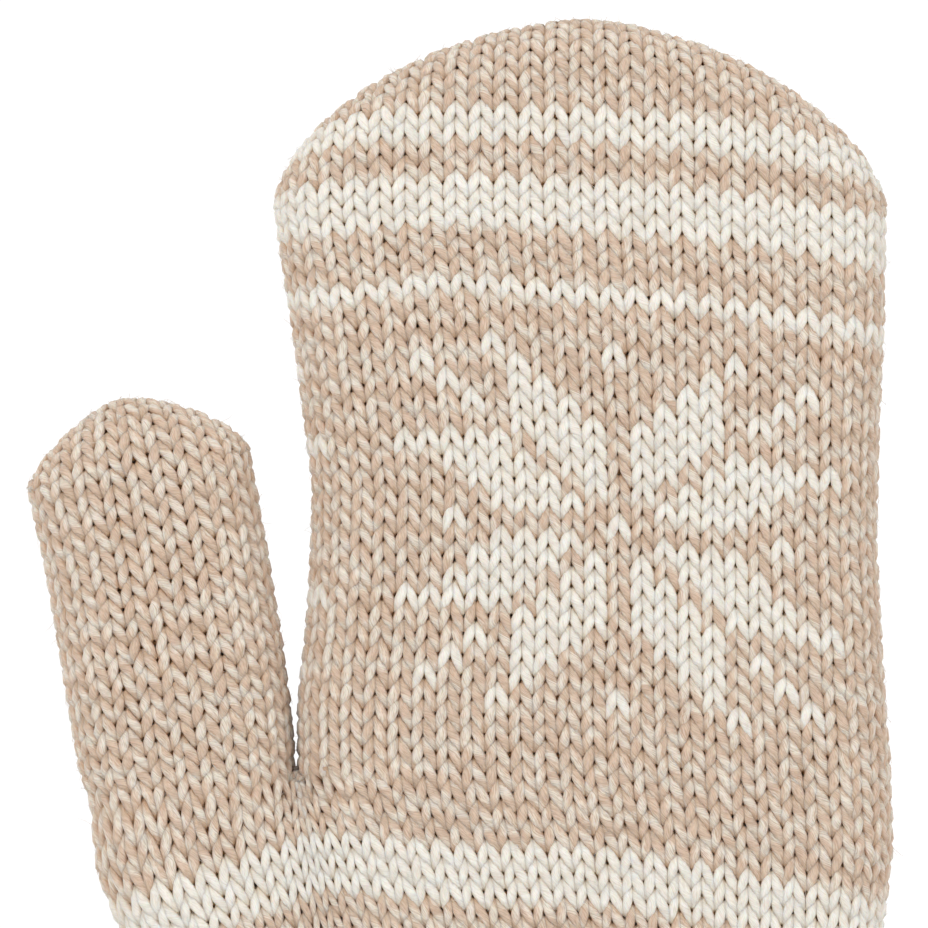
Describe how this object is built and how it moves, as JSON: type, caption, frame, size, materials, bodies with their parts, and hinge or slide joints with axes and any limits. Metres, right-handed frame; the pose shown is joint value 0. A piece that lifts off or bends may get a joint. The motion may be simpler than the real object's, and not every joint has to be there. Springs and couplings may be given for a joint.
{
  "type": "knitted mitten",
  "caption": "Lined knitted mitten with a separate thumb, ribbed cuff, cream stripes and an eight-petalled star on the back of the hand.",
  "frame": {"origin": "centre of the hand opening, at the open end of the ribbed cuff", "axes": "+Z from the cuff to the fingertips, -Y out of the back of the hand, +Y out of the palm, thumb on the -X side"},
  "size_m": [0.1515, 0.022, 0.2614],
  "materials": {
    "knit_beige": "fuzzy two-ply marl yarn, off-white twisted with pinkish tan",
    "knit_cream": "fuzzy solid off-white yarn",
    "fleece": "short brushed fleece",
    "sewing_thread": "matte sewing thread",
    "elastic": "woven elastic tape",
    "label": "blank satin ribbon"
  },
  "bodies": {
    "cuff": {"rib_cuff": "knit_beige", "wrist_elastic": "elastic", "hem_stitching": "sewing_thread", "cuff_lining_back": "fleece", "cuff_lining_palm": "fleece", "size_label": "label"},
    "palm": {"palm_knit_lower": "knit_beige", "palm_stripe": "knit_cream", "palm_knit_upper": "knit_beige", "palm_lining_back": "fleece", "palm_lining_palm": "fleece"},
    "fingers": {"finger_knit": "knit_beige", "back_star": "knit_cream", "palm_star": "knit_cream", "finger_lining_back": "fleece", "finger_lining_palm": "fleece"},
    "fingertips": {"tip_knit_lower": "knit_beige", "narrow_stripe": "knit_cream", "tip_knit_middle": "knit_beige", "wide_stripe": "knit_cream", "tip_knit_upper": "knit_beige", "top_stripe": "knit_cream", "tip_crown": "knit_beige", "tip_seam": "sewing_thread", "tip_lining_back": "fleece", "tip_lining_palm": "fleece"},
    "thumb": {"thumb_knit": "knit_beige", "thumb_lining_back": "fleece", "thumb_lining_palm": "fleece"},
    "thumb_tip": {"thumb_tip_knit": "knit_beige", "thumb_tip_seam": "sewing_thread", "thumb_tip_lining_back": "fleece", "thumb_tip_lining_palm": "fleece"}
  },
  "joints": [
    {"name": "wrist_bend", "type": "hinge", "parent": "cuff", "child": "palm", "pos_m": [0, 0.011, 0.062], "axis": [-1, 0, 0], "range_deg": [0, 50], "stiffness_Nm_per_rad": 0.5},
    {"name": "finger_fold", "type": "hinge", "parent": "palm", "child": "fingers", "pos_m": [0, 0.011, 0.141], "axis": [-1, 0, 0], "range_deg": [0, 75], "stiffness_Nm_per_rad": 0.2},
    {"name": "fingertip_fold", "type": "hinge", "parent": "fingers", "child": "fingertips", "pos_m": [0, 0.011, 0.206], "axis": [-1, 0, 0], "range_deg": [0, 65], "stiffness_Nm_per_rad": 0.2},
    {"name": "thumb_swing", "type": "hinge", "parent": "palm", "child": "thumb", "pos_m": [-0.0619, 0, 0.12626], "axis": [0, -1, 0], "range_deg": [-4, 30], "stiffness_Nm_per_rad": 0.2},
    {"name": "thumb_bend", "type": "hinge", "parent": "thumb", "child": "thumb_tip", "pos_m": [-0.06815, 0.01, 0.16171], "axis": [-0.9848, 0, -0.1736], "range_deg": [0, 50], "stiffness_Nm_per_rad": 0.2}
  ]
}
